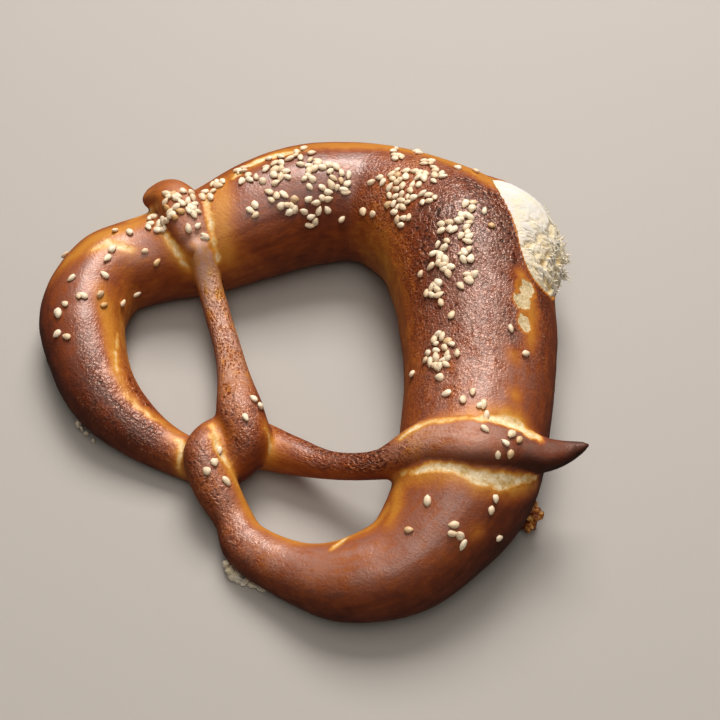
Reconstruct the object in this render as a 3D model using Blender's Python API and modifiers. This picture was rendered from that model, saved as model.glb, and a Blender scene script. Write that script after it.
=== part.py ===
"""Soft pretzel: one rope of dough, looped, twisted and baked into a single piece.

Units are metres and +Z is up. The origin is the middle of the footprint, on the surface that the
pretzel rests on. The rope starts at the tip of the right tail, crosses the belly as a strap, runs
along the lower arm and through the twist, round the bottom loop, the fat belly and the left loop,
through the twist again, up the upper arm, and over the belly's left end to the tip of the left tail.
"""
import bmesh
import bpy
import numpy as np

MM = 0.001

# How the dough lies. A strand that rests on the tray settles until its middle is this many of its
# radii above it, which leaves a flat sole. A strap's middle is pressed this far, in millimetres,
# below the back of the rope it crosses.
SETTLED_HEIGHT = 0.76
STRAP_SINK = 3.6

# The rope's route, in millimetres. A resting strand and a strap are (x, y, radius); their height
# follows from the rules above. A free strand is (x, y, height of its middle, radius).
TAIL_RIGHT = [(82, -37.2, 27.6, 0.4), (78.4, -37.9, 26.2, 2), (73.4, -39.2, 25.6, 3.6),
              (68, -40.5, 26.8, 4.9), (61.5, -40.6, 29, 6.1)]
STRAP_RIGHT = [(49, -41.3, 7.5), (36.5, -38.6, 6.9)]
ARM_LOWER = [(24, -39, 19.5, 4.4), (10, -35, 12, 4.3), (-4, -28.5, 8, 6), (-14.5, -24, 6.5, 7.2)]
TWIST_OUTWARD = [(-23, -24.5, 10, 6.6), (-27, -31.5, 12.6, 6.6), (-24.3, -40, 10.2, 6.5),
                 (-18.6, -49.4, 6.6, 5.6)]
BOTTOM_LOOP = [(-14.3, -57.4, 7), (-0.6, -66.2, 8.5), (13.5, -70, 11.6), (29, -66, 14.2),
               (39.5, -56, 17.2)]
BELLY = [(47, -43, 20.6), (52, -16, 22), (53.2, 10, 23.7), (49, 36.5, 25.3), (35.5, 53.5, 21.6),
         (19, 62.5, 19.2), (1, 61.5, 19.6), (-16, 55, 18.6), (-33, 47, 16.2)]
LEFT_LOOP = [(-48, 42.3, 14.2), (-61.5, 36, 14), (-68, 20, 13.5), (-65, 4, 11.9),
             (-58, -10, 10.4), (-47, -20.5, 7.9)]
TWIST_INWARD = [(-36, -27, 5.2, 6.4), (-24, -31.5, 5.5, 6.6), (-15.5, -28, 13, 7),
                (-17.5, -19.5, 15.5, 7)]
ARM_UPPER = [(-19.5, -8, 13.5, 5.5), (-23, 8, 10.3, 4.1), (-27, 22, 10.7, 4), (-30, 31, 15.5, 4.1),
             (-31.8, 36.6, 22.5, 4.2)]
STRAP_LEFT = [(-32.8, 39.2, 6.2), (-37, 47.5, 7.6)]
TAIL_LEFT = [(-42, 54.5, 25.5, 6.2), (-50, 58, 21.5, 2.7)]

# The belly's outer corner tore open beside its neighbour in the oven and swelled out a little.
TORN_CORNER = [(46, 55.5, 20, 14.5), (53.2, 46, 20, 19.1), (58.5, 34, 20, 21.4), (58, 18.5, 18, 17.9)]

# How finely the rope is worked out, in millimetres where it is a length.
POINTS_PER_STRETCH = 8
SECTION_RESOLUTION = 6
SKIN_CELL = 1.5
SMOOTHING_PASSES = 3
TRIANGLES = 8500

CRUST_COLOUR = (0.19, 0.045, 0.012, 1)
CRUST_ROUGHNESS = 0.38


def resting(stations):
    """Give each strand that lies on the tray the height of its middle."""
    return [(x, y, SETTLED_HEIGHT * radius, radius) for x, y, radius in stations]


def strapped(stations, rope):
    """Lay each station of a strap on the round back of the rope it crosses."""
    line = smooth_route(rope)
    laid = []
    for x, y, radius in stations:
        aside = np.hypot(line[:, 0] - x, line[:, 1] - y)
        nearest = aside.argmin()
        reach = line[nearest, 3] - STRAP_SINK
        height = line[nearest, 2] + np.sqrt(reach ** 2 - aside[nearest] ** 2)
        laid.append((x, y, height, radius))
    return laid


def smooth_route(stations):
    """Run a centripetal Catmull-Rom curve through the stations, radius included."""
    stations = np.array(stations, dtype=float)
    before = 2 * stations[0] - stations[1]
    after = 2 * stations[-1] - stations[-2]
    knots = np.vstack([before, stations, after])
    points = []
    for p0, p1, p2, p3 in zip(knots, knots[1:], knots[2:], knots[3:]):
        t1 = np.linalg.norm(p1[:3] - p0[:3]) ** 0.5
        t2 = t1 + np.linalg.norm(p2[:3] - p1[:3]) ** 0.5
        t3 = t2 + np.linalg.norm(p3[:3] - p2[:3]) ** 0.5
        for t in np.linspace(t1, t2, POINTS_PER_STRETCH, endpoint=False):
            a1 = p0 + (p1 - p0) * t / t1
            a2 = p1 + (p2 - p1) * (t - t1) / (t2 - t1)
            a3 = p2 + (p3 - p2) * (t - t2) / (t3 - t2)
            b1 = a1 + (a2 - a1) * t / t2
            b2 = a2 + (a3 - a2) * (t - t1) / (t3 - t1)
            points.append(b1 + (b2 - b1) * (t - t1) / (t2 - t1))
    points.append(stations[-1])
    return np.array(points)


def whole_route():
    """Join the stretches into one rope, from the right tail to the left tail."""
    bottom, belly, left = resting(BOTTOM_LOOP), resting(BELLY), resting(LEFT_LOOP)
    ring = bottom + belly + left
    start = TAIL_RIGHT + strapped(STRAP_RIGHT, ring) + ARM_LOWER + TWIST_OUTWARD
    finish = TWIST_INWARD + ARM_UPPER + strapped(STRAP_LEFT, ring) + TAIL_LEFT
    return smooth_route(start + ring + finish)


def rope_mesh(routes):
    """Sweep a round section of changing size along each route and return the closed shapes."""
    curve = bpy.data.curves.new("rope", "CURVE")
    curve.dimensions = "3D"
    curve.bevel_depth = MM
    curve.bevel_resolution = SECTION_RESOLUTION
    curve.use_fill_caps = True
    for route in routes:
        spline = curve.splines.new("POLY")
        spline.points.add(len(route) - 1)
        for point, (x, y, z, radius) in zip(spline.points, route):
            point.co = (x * MM, y * MM, z * MM, 1)
            point.radius = radius
    rope = bpy.data.objects.new("rope", curve)
    bpy.context.scene.collection.objects.link(rope)
    evaluated = rope.evaluated_get(bpy.context.evaluated_depsgraph_get())
    mesh = bpy.data.meshes.new_from_object(evaluated)
    bpy.data.objects.remove(rope)
    bpy.data.curves.remove(curve)
    shape = bmesh.new()
    shape.from_mesh(mesh)
    bmesh.ops.remove_doubles(shape, verts=shape.verts, dist=0.01 * MM)
    shape.to_mesh(mesh)
    shape.free()
    return mesh


def one_skin(dough):
    """Fuse the strands that cross and press together into one solid with a single skin."""
    fuse = dough.modifiers.new("Fuse strands", "REMESH")
    fuse.mode = "VOXEL"
    fuse.voxel_size = SKIN_CELL * MM
    soften = dough.modifiers.new("Soften", "SMOOTH")
    soften.factor = 0.5
    soften.iterations = SMOOTHING_PASSES
    evaluated = dough.evaluated_get(bpy.context.evaluated_depsgraph_get())
    count = sum(len(face.vertices) - 2 for face in evaluated.data.polygons)
    thin = dough.modifiers.new("Thin out", "DECIMATE")
    thin.ratio = TRIANGLES / count
    evaluated = dough.evaluated_get(bpy.context.evaluated_depsgraph_get())
    skin = bpy.data.meshes.new_from_object(evaluated)
    dough.modifiers.clear()
    dough.data = skin


def flat_sole(dough):
    """Cut the dough off level with the tray, which leaves the flat sole that it was baked on."""
    shape = bmesh.new()
    shape.from_mesh(dough.data)
    everything = shape.verts[:] + shape.edges[:] + shape.faces[:]
    cut = bmesh.ops.bisect_plane(shape, geom=everything, dist=0.01 * MM, plane_co=(0, 0, 0),
                                 plane_no=(0, 0, 1), clear_inner=True)
    rim = [part for part in cut["geom_cut"] if isinstance(part, bmesh.types.BMEdge)]
    bmesh.ops.holes_fill(shape, edges=rim)
    bmesh.ops.triangulate(shape, faces=shape.faces)
    bmesh.ops.recalc_face_normals(shape, faces=shape.faces)
    shape.to_mesh(dough.data)
    shape.free()


def crust_material():
    """Browned, glossy lye crust."""
    crust = bpy.data.materials.new("crust")
    crust.use_nodes = True
    shader = crust.node_tree.nodes["Principled BSDF"]
    shader.inputs["Base Color"].default_value = CRUST_COLOUR
    shader.inputs["Roughness"].default_value = CRUST_ROUGHNESS
    shader.inputs["Metallic"].default_value = 0
    return crust


def main():
    for old in list(bpy.data.objects):
        bpy.data.objects.remove(old)
    routes = [whole_route(), smooth_route(TORN_CORNER)]
    dough = bpy.data.objects.new("pretzel", rope_mesh(routes))
    pieces = bpy.data.collections.new("Soft pretzel")
    bpy.context.scene.collection.children.link(pieces)
    pieces.objects.link(dough)
    one_skin(dough)
    flat_sole(dough)
    dough.data.name = "pretzel"
    dough.data.materials.clear()
    dough.data.materials.append(crust_material())
    dough.data.shade_smooth()


main()
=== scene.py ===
"""The looks of the soft pretzel: its browned crust, torn corner, loose crumbs and sesame seeds."""

import random

import bpy
import numpy as np
from mathutils import Matrix, Vector, noise
from mathutils.bvhtree import BVHTree


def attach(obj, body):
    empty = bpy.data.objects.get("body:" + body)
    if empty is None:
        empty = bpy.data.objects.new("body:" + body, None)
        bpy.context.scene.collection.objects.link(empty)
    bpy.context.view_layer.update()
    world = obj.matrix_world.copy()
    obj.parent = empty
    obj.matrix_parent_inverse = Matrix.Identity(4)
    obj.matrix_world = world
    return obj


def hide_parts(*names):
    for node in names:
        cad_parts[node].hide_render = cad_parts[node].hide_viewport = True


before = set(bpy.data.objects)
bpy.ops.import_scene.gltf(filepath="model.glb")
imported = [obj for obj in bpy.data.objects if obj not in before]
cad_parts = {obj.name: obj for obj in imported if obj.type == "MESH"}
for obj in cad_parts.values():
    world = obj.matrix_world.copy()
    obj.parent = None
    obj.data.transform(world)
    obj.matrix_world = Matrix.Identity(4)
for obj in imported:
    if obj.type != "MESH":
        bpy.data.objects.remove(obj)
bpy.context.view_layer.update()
bpy.ops.object.select_all(action="DESELECT")

# --------------------
# The dough. One rope of lye dough is rolled thick in the middle and thin at the ends, looped, twisted
# once and laid over itself. It proves and bakes into one piece, flat where it lay on the tray.

MM = 0.001
# How many of its radii a resting strand's middle is above the tray, and how far a strap's middle is
# pressed below the back of the rope that it crosses, in millimetres.
SETTLED_HEIGHT = 0.76
STRAP_SINK = 3.6
POINTS_PER_STRETCH = 16
SKIN_CELL = 0.83
SMOOTHING_PASSES = 8

# The route from the tip of the right tail to the tip of the left one, in millimetres. A resting strand
# and a strap are (x, y, radius), and a free strand is (x, y, height of its middle, radius). The
# bulge of dough swelled out of the torn corner.
TAIL_RIGHT = [(82, -37.2, 27.6, 0.4), (78.4, -37.9, 26.2, 2), (73.4, -39.2, 25.6, 3.6),
              (68, -40.5, 26.8, 4.9), (61.5, -40.6, 29, 6.1)]
STRAP_RIGHT = [(49, -41.3, 7.5), (36.5, -38.6, 6.9)]
ARM_LOWER = [(24, -39, 19.5, 4.4), (10, -35, 12, 4.3), (-4, -28.5, 8, 6), (-14.5, -24, 6.5, 7.2)]
TWIST_OUTWARD = [(-23, -24.5, 10, 6.6), (-27, -31.5, 12.6, 6.6), (-24.3, -40, 10.2, 6.5),
                 (-18.6, -49.4, 6.6, 5.6)]
BOTTOM_LOOP = [(-14.3, -57.4, 7), (-0.6, -66.2, 8.5), (13.5, -70, 11.6), (29, -66, 14.2),
               (39.5, -56, 17.2)]
BELLY = [(47, -43, 20.6), (52, -16, 22), (53.2, 10, 23.7), (49, 36.5, 25.3), (35.5, 53.5, 21.6),
         (19, 62.5, 19.2), (1, 61.5, 19.6), (-16, 55, 18.6), (-33, 47, 16.2)]
LEFT_LOOP = [(-48, 42.3, 14.2), (-61.5, 36, 14), (-68, 20, 13.5), (-65, 4, 11.9),
             (-58, -10, 10.4), (-47, -20.5, 7.9)]
TWIST_INWARD = [(-36, -27, 5.2, 6.4), (-24, -31.5, 5.5, 6.6), (-15.5, -28, 13, 7),
                (-17.5, -19.5, 15.5, 7)]
ARM_UPPER = [(-19.5, -8, 13.5, 5.5), (-23, 8, 10.3, 4.1), (-27, 22, 10.7, 4), (-30, 31, 15.5, 4.1),
             (-31.8, 36.6, 22.5, 4.2)]
STRAP_LEFT = [(-32.8, 39.2, 6.2), (-37, 47.5, 7.6)]
TAIL_LEFT = [(-42, 54.5, 25.5, 6.2), (-50, 58, 21.5, 2.7)]
TORN_BULGE = [(46, 55.5, 20, 14.5), (53.2, 46, 20, 19.1), (58.5, 34, 20, 21.4), (58, 18.5, 18, 17.9)]


def resting(stations):
    """Give each strand that lies on the tray the height of its middle."""
    return [(x, y, SETTLED_HEIGHT * radius, radius) for x, y, radius in stations]


def smooth_route(stations):
    """Run a centripetal Catmull-Rom curve through the stations, whatever they carry beside x, y, z."""
    stations = np.array(stations, dtype=float)
    knots = np.vstack([2 * stations[0] - stations[1], stations, 2 * stations[-1] - stations[-2]])
    points = []
    for p0, p1, p2, p3 in zip(knots, knots[1:], knots[2:], knots[3:]):
        t1 = np.linalg.norm(p1[:3] - p0[:3]) ** 0.5
        t2 = t1 + np.linalg.norm(p2[:3] - p1[:3]) ** 0.5
        t3 = t2 + np.linalg.norm(p3[:3] - p2[:3]) ** 0.5
        for t in np.linspace(t1, t2, POINTS_PER_STRETCH, endpoint=False):
            a1 = p0 + (p1 - p0) * t / t1
            a2 = p1 + (p2 - p1) * (t - t1) / (t2 - t1)
            a3 = p2 + (p3 - p2) * (t - t2) / (t3 - t2)
            b1 = a1 + (a2 - a1) * t / t2
            b2 = a2 + (a3 - a2) * (t - t1) / (t3 - t1)
            points.append(b1 + (b2 - b1) * (t - t1) / (t2 - t1))
    points.append(stations[-1])
    return np.array(points)


def strapped(stations, rope):
    """Lay each station of a strap on the round back of the rope that it crosses."""
    line = smooth_route(rope)
    laid = []
    for x, y, radius in stations:
        aside = np.hypot(line[:, 0] - x, line[:, 1] - y)
        nearest = aside.argmin()
        reach = line[nearest, 3] - STRAP_SINK
        laid.append((x, y, line[nearest, 2] + np.sqrt(reach ** 2 - aside[nearest] ** 2), radius))
    return laid


ring = resting(BOTTOM_LOOP) + resting(BELLY) + resting(LEFT_LOOP)
stations = (TAIL_RIGHT + strapped(STRAP_RIGHT, ring) + ARM_LOWER + TWIST_OUTWARD + ring
            + TWIST_INWARD + ARM_UPPER + strapped(STRAP_LEFT, ring) + TAIL_LEFT)
route = smooth_route(stations)


def new_rope(name, roundness):
    """An empty rope of dough, a curve that sweeps a round section along each strand added to it."""
    rope = bpy.data.curves.new(name, "CURVE")
    rope.dimensions = "3D"
    rope.bevel_depth = MM
    rope.bevel_resolution = roundness
    rope.use_fill_caps = True
    return rope


def add_strand(rope, places, radii):
    """Add a strand through these places, in metres, with these radii, in millimetres."""
    strand = rope.splines.new("POLY")
    strand.points.add(len(places) - 1)
    for point, place, radius in zip(strand.points, places, radii):
        point.co = (*place, 1)
        point.radius = radius


def rope_mesh(rope):
    """Turn the rope into an object with a mesh, and leave it alone selected."""
    piece = bpy.data.objects.new(rope.name, rope)
    bpy.context.scene.collection.objects.link(piece)
    bpy.ops.object.select_all(action="DESELECT")
    piece.select_set(True)
    bpy.context.view_layer.objects.active = piece
    bpy.ops.object.convert(target="MESH")
    return piece


dough = new_rope("crust", 12)
for line in (route, smooth_route(TORN_BULGE)):
    add_strand(dough, line[:, :3] * MM, line[:, 3])
crust = rope_mesh(dough)


def apply_modifier(kind, **settings):
    """Add a modifier to the active object with these settings and apply it."""
    bpy.ops.object.modifier_add(type=kind)
    modifier = bpy.context.object.modifiers[-1]
    for name, value in settings.items():
        setattr(modifier, name, value)
    bpy.ops.object.modifier_apply(modifier=modifier.name)


apply_modifier("REMESH", mode="VOXEL", voxel_size=SKIN_CELL * MM)
apply_modifier("SMOOTH", factor=0.5, iterations=SMOOTHING_PASSES)


def read(items, name):
    """What each of the mesh's items keeps as x, y, z, as an array."""
    values = np.empty(len(items) * 3, np.float32)
    items.foreach_get(name, values)
    return values.reshape(-1, 3).astype(float)


def corners(mesh):
    """The mesh's corner places, in metres."""
    return read(mesh.vertices, "co")


def outward(mesh):
    """The mesh's outward direction at each corner."""
    return read(mesh.vertex_normals, "vector")


def move_corners(mesh, places):
    """Put the mesh's corners at these places."""
    mesh.vertices.foreach_set("co", places.astype(np.float32).ravel())
    mesh.update()


def soft_step(low, high, values):
    """Rise smoothly from 0 at low to 1 at high."""
    share = np.clip((values - low) / (high - low), 0, 1)
    return share * share * (3 - 2 * share)


def ripple(places, size, seed=0.0, octaves=1):
    """Noise from about -1 to 1 whose lumps are about size metres across."""
    shift = Vector((seed, seed * 0.7, -seed))
    return np.array([noise.fractal(Vector(place) / size + shift, 0.7, 2.1, octaves)
                     for place in places])


# --------------------
# The skin. The lye gives the dough a thin skin, which browns most where a strand stands up to the heat,
# and wrinkles, splits and flakes in the oven. What happened to each spot of it is kept with the mesh,
# together with the shade and the sheen painted on it, and follows from the spot's place along and around
# the strand whose surface is nearest.

# Two samples of the route lie on one strand if they are nearer along it than so many of their radii.
SAME_STRAND = 1.9
FAR_OFF = 99
# How many places are measured at once.
BATCH = 4000
along = np.concatenate([[0], np.cumsum(np.linalg.norm(np.diff(route[:, :3], axis=0), axis=1))])


def lie_on_route(places):
    """For each place, in millimetres: the route's nearest sample, and the next strand's distance."""
    owner = np.empty(len(places), int)
    beside = np.empty(len(places))
    for start in range(0, len(places), BATCH):
        batch = slice(start, start + BATCH)
        gap = np.linalg.norm(places[batch, None, :] - route[None, :, :3], axis=2) - route[None, :, 3]
        nearest = gap.argmin(axis=1)
        reach = np.abs(along[None, :] - along[nearest][:, None])
        gap[reach < SAME_STRAND * (route[nearest, 3][:, None] + route[None, :, 3])] = FAR_OFF
        owner[batch] = nearest
        beside[batch] = gap.min(axis=1)
    return owner, beside


places = corners(crust.data) / MM
owner, beside = lie_on_route(places)
tangent = np.gradient(route[:, :3], axis=0)
tangent /= np.linalg.norm(tangent, axis=1)[:, None]
heading = tangent[owner]
leftward = np.cross((0, 0, 1), heading)
leftward /= np.linalg.norm(leftward, axis=1)[:, None]
upward = np.cross(heading, leftward)
from_middle = places - route[owner, :3]
slide = (from_middle * heading).sum(axis=1)
to_left = (from_middle * leftward).sum(axis=1)
to_top = (from_middle * upward).sum(axis=1)
turned = np.degrees(np.arctan2(to_left, to_top))
round_back = np.abs(turned)
reached = along[owner] + slide

# How each station is baked, in hundredths, with some shade painted in. Brown goes from 0, raw dough, to
# 100, nearly black: on the strand's back, its left side and its right side, seen along the route. The dark
# values on the low sides that face the front are partly painted shade. Then how finely wrinkled the left
# half and the right half of its back are, how much sheen is painted on the back, and how far it was pressed
# flat.
BAKED_AND_SHADED = [
    # right tail
    (93, 96, 86, 10, 10, 10, 0), (84, 95, 80, 10, 10, 10, 20), (70, 92, 66, 10, 10, 20, 60),
    (76, 90, 66, 10, 10, 30, 100), (76, 84, 62, 10, 10, 30, 100),
    # right strap
    (60, 70, 54, 10, 10, 60, 100), (38, 56, 42, 30, 30, 70, 70),
    # lower arm
    (62, 60, 62, 80, 100, 20, 0), (62, 50, 66, 40, 100, 20, 0), (54, 44, 62, 20, 80, 10, 0),
    (38, 38, 44, 10, 20, 10, 0),
    # twist, outward
    (54, 50, 46, 50, 30, 20, 0), (58, 36, 54, 75, 70, 40, 0), (57, 42, 58, 75, 75, 40, 0),
    (55, 42, 64, 70, 70, 50, 0),
    # bottom loop
    (56, 42, 70, 30, 40, 50, 0), (55, 46, 70, 10, 20, 50, 0), (57, 48, 72, 0, 10, 40, 0),
    (57, 48, 72, 0, 10, 30, 0), (58, 46, 78, 10, 10, 30, 0),
    # belly
    (60, 50, 80, 20, 10, 30, 0), (58, 50, 66, 50, 20, 50, 0), (74, 44, 60, 70, 60, 40, 0),
    (76, 32, 58, 80, 100, 20, 0), (50, 40, 46, 60, 50, 30, 0), (66, 60, 36, 20, 20, 10, 0),
    (68, 62, 32, 10, 20, 10, 0), (62, 60, 32, 10, 10, 10, 0), (46, 50, 32, 10, 10, 10, 0),
    # left loop
    (50, 60, 32, 0, 0, 20, 0), (52, 50, 34, 10, 0, 20, 0), (60, 38, 78, 10, 10, 20, 0),
    (66, 36, 82, 35, 10, 20, 0), (75, 42, 77, 100, 30, 20, 0), (77, 46, 74, 100, 40, 20, 0),
    # twist, inward
    (60, 42, 66, 60, 40, 20, 0), (60, 60, 60, 50, 50, 30, 0), (62, 58, 76, 80, 30, 10, 0),
    (50, 56, 70, 80, 60, 50, 0),
    # upper arm
    (38, 52, 42, 80, 80, 90, 0), (38, 58, 40, 90, 90, 100, 0), (34, 56, 38, 80, 90, 100, 0),
    (22, 42, 34, 30, 50, 100, 0), (28, 36, 36, 0, 10, 100, 90),
    # left strap and tail
    (48, 50, 52, 20, 20, 80, 100), (58, 50, 60, 10, 10, 40, 100), (46, 54, 42, 10, 10, 10, 100),
    (44, 66, 48, 10, 10, 10, 100),
]
station_along = along[::POINTS_PER_STRETCH]
back, left, right, wrinkled_left, wrinkled_right, sheen_share, pressed = (
    np.interp(reached, station_along, np.array(values) / 100) for values in zip(*BAKED_AND_SHADED))
# Each shift from one look to another runs between two turns from the back's middle, in degrees.
left_share = soft_step(20, 85, turned)
right_share = soft_step(20, 85, -turned)
# The sides' darker browns include painted shade on the low faces that face the front.
baked_and_shaded = back * (1 - left_share - right_share) + left * left_share + right * right_share
on_left = soft_step(-24, 2, turned)
wrinkled = wrinkled_left * on_left + wrinkled_right * (1 - on_left)
wrinkled *= soft_step(78, 38, round_back)
# The back shines, but less where it was pressed and where another strand is within 13 mm.
shine = soft_step(70, 16, round_back) * (1 - 0.75 * pressed) * (0.25 + 0.75 * soft_step(0, 13, beside))
# Painted sheen: a pale tan painted on the rope's back, broader where the row has more of it.
painted_sheen = sheen_share ** 1.3 * soft_step(44 + 44 * sheen_share, 8, np.abs(turned - 2))

# Where the crust split in the oven and pale dough shows: each a line of (x, y, z, half its width), in
# millimetres, from one end of the split to the other.
SPLITS = [
    # above and below the right strap
    [(29, -36.8, 30.6, 0.4), (36.8, -35, 35.8, 0.8), (42, -35.7, 38.7, 0.9), (47.5, -36, 39.7, 1.1),
     (53.3, -35.8, 37.2, 2.1), (57.5, -35.6, 36, 2.5), (61.6, -36, 34, 2.3), (66.4, -38.4, 32.3, 1.3)],
    [(29, -45.6, 25, 0.3), (32.7, -47.3, 29.2, 0.6), (38, -48.2, 33.2, 1.2), (43, -49.3, 34.4, 1.2),
     (50, -51.6, 33.3, 2.1), (56, -51.6, 31.2, 2.2), (61, -49.6, 28.5, 1.3), (67, -45.6, 23.6, 0.5)],
    # left and right of the left strap, and beside the left tail
    [(-43.5, 41.3, 25.3, 0.3), (-41.2, 38.4, 24.7, 0.9), (-38.8, 35.2, 22.8, 1), (-35.7, 32, 19.1, 0.3)],
    [(-31, 53.2, 29.1, 0.3), (-29.7, 48.8, 29.4, 0.7), (-28.6, 43, 28.1, 0.8), (-27.5, 37, 24.3, 0.6),
     (-26.4, 34, 20.6, 0.3)],
    [(-52.5, 51, 21.2, 0.2), (-48.8, 52.9, 22.3, 0.4), (-45.5, 50, 27.5, 0.2)],
    # along the belly's back edge
    [(-22, 58.3, 31.3, 0.5), (-19, 62.8, 30.7, 1.3), (-13.4, 66, 31.2, 1), (-9.3, 67.3, 31.6, 1.3),
     (-4.6, 68, 32.3, 0.9), (0, 68.8, 32.8, 0.3)],
    # in the twist
    [(-25.3, -24.5, 17.2, 0.5), (-24.2, -28.8, 18, 1.1), (-23, -32.4, 17.4, 1.2), (-21.3, -35, 16.1, 0.9),
     (-19.3, -38, 14.5, 0.3), (-17.3, -40.7, 12.5, 0.2)],
    [(-36, -26, 11.4, 0.3), (-34, -28, 11.4, 1), (-34, -30.5, 10.8, 0.9), (-35, -33, 7.6, 0.3)],
    [(-9.6, -25.8, 18.2, 0.3), (-8.7, -28.8, 15, 0.4), (-9, -31, 12.4, 0.2)],
    # on the left loop's back and inner side, and in the bottom loop
    [(-65, 34.7, 24.6, 0.4), (-60, 37.5, 24.6, 1.3), (-53.5, 35.6, 23.8, 0.5)],
    [(-56, 9, 16, 0.2), (-55.6, 2.5, 16.8, 0.35), (-54.5, -5, 17.6, 0.2)],
    [(10.2, -65, 17.7, 0.5), (12, -63.2, 17.8, 0.8), (13.8, -61.4, 17, 0.5)],
    [(-51.5, -13, 16.4, 0.2), (-47, -17, 14.3, 0.35), (-41, -20.4, 12.2, 0.2)],
]
# Where it stayed golden, in the same way.
GOLDEN = [
    # the belly's back edge, and its end beside the left strap
    [(-22, 60, 30, 1.2), (-9, 68.5, 30.5, 1.8), (8, 72, 31, 2.6), (25, 72.5, 31, 3),
     (42.8, 66.5, 32.5, 3.6), (52, 57, 37, 4.2), (59, 50, 38.5, 4.4)],
    [(-25.5, 57, 29, 2.2), (-25.2, 50, 29.8, 2.6), (-24.8, 42, 28, 2), (-24, 36, 20, 1.8)],
    # the left loop's outer rim
    [(-76, 27, 18, 0.4), (-72.3, 33, 21.8, 1.3), (-69.3, 35.6, 23.1, 1.9), (-64.7, 40.1, 23.8, 2.2),
     (-55.7, 44.1, 24, 1.7), (-50.5, 46.6, 24, 0.7)],
    # left of the left strap, and beside the left tail
    [(-43.5, 43, 25, 0.8), (-40.5, 37.4, 24.2, 1.3), (-35.5, 31.5, 19, 0.8)],
    [(-54.6, 47.5, 22.7, 0.6), (-52, 51.6, 20.9, 0.8), (-48.8, 53, 22.3, 0.8), (-44.6, 49, 29.2, 0.5)],
    # above and below the right strap
    [(29, -36, 30, 0.8), (42, -34.5, 38.5, 1.2), (53, -33, 38.2, 1.5), (61, -33, 35.2, 1.9),
     (67, -37, 31.6, 1.5)],
    [(27.5, -47.5, 23, 0.8), (35, -50, 30.7, 0.8), (42, -51.5, 33.4, 0.8), (50, -54, 32.8, 1.4),
     (60, -52.5, 28.2, 1.4), (67, -47.5, 22, 0.8)],
    # the left loop's inner side, and a crease on its back
    [(-62, 22, 21.6, 1.2), (-58.6, 12.5, 19.2, 2.1), (-56.8, 3, 17.6, 2.1), (-55, -5, 17.2, 1.7),
     (-51.6, -12, 16.2, 1.4), (-46.8, -16.4, 14.2, 1.2), (-41, -19.8, 12, 1.1), (-36, -23, 10.7, 0.9)],
    [(-65.5, 34.5, 24.2, 0.6), (-60, 37.3, 24.5, 1.1), (-53, 35.5, 23.7, 0.6)],
    # the bottom loop's inner edge, and up to the belly
    [(-17.3, -41, 11.8, 0.9), (-14.9, -47.3, 10.2, 1.1), (-11.1, -53.1, 9.8, 1.2), (-0.6, -59.3, 11.6, 1.2),
     (13.5, -61.1, 16.3, 1.3), (20, -59.5, 18.8, 1.2), (25, -54.5, 21.5, 1.2)],
    [(26, -60, 23.6, 0.8), (27.7, -55, 24.4, 1.5), (28, -49, 24, 1.7), (28, -45.5, 22.6, 1)],
    # the twist
    [(-25.3, -24.5, 17.2, 0.6), (-23, -32.4, 17, 1.3), (-19.3, -38.5, 14, 1.2), (-17.3, -41, 11.8, 1)],
    [(-37.5, -24.5, 11.5, 0.6), (-34.4, -28, 11.4, 1.4), (-34, -32, 9, 1.1), (-34.5, -35.5, 6, 0.6)],
    [(-9.8, -25, 18, 0.9), (-8.7, -28.5, 15, 1.5), (-9.2, -32, 11.5, 1)],
    # round the flakes that came off
    [(64, 14, 38.8, 1.2), (66.5, 6, 36.8, 2.2), (67, -3, 35.6, 1.8), (66, -9, 35, 0.6)],
    # a blister
    [(60.8, -13.4, 37.4, 0.7), (61.2, -14.8, 37, 0.5)],
]
# Round blisters, each one point of such a line.
BLISTERS = [(60.7, -26.4, 35.8, 0.9), (69, 3.2, 34.4, 0.8), (49.5, -64.5, 26, 0.7)]
# And where it caught, in the same way.
SCORCHED = [
    [(62.4, 17, 40.3, 1.2), (63.2, 12.5, 40, 1)],
    [(60.6, -7, 38.2, 1.4), (61.2, -11, 37.6, 1)],
]
FAR_OUTSIDE = -9.0


def inside_lines(lines):
    """How far inside the lines' width each place is, in millimetres, and below 0 outside them."""
    best = np.full(len(places), FAR_OUTSIDE)
    for line in lines:
        line = np.array(line, dtype=float)
        for start, end in zip(line, line[1:]):
            step = end[:3] - start[:3]
            share = np.clip((places - start[:3]) @ step / max(step @ step, 1e-6), 0, 1)
            away = np.linalg.norm(places - start[:3] - share[:, None] * step, axis=1)
            best = np.maximum(best, start[3] + share * (end[3] - start[3]) - away)
    return best


split = inside_lines(SPLITS)
golden = inside_lines(GOLDEN + [[blister, blister] for blister in BLISTERS]) - 2 * pressed
scorched = inside_lines(SCORCHED)

# Flakes of crust that came off beside the torn corner and bare the crumb: each one's middle, and half
# its width, its length and the height of skin it reaches over.
BARED = [((66, 9.4, 37.4), (2.9, 3.2, 4.5)), ((64.5, 4.9, 38), (2.5, 2.8, 4.5)),
         ((65.2, -2, 36.8), (2.1, 3.2, 4.5))]
flaked = np.full(len(places), -1.0)
for middle, half_sizes in BARED:
    away = (places - np.array(middle)) / half_sizes
    flaked = np.maximum(flaked, 1 - np.linalg.norm(away, axis=1))

# The straps were pressed flat as they were laid over the belly, which squared their shoulders: how far,
# in their radii.
SHOULDERS = 0.09
squared = SHOULDERS * pressed * route[owner, 3] * np.sin(2 * np.radians(turned)) ** 2 * (round_back < 90)

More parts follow.
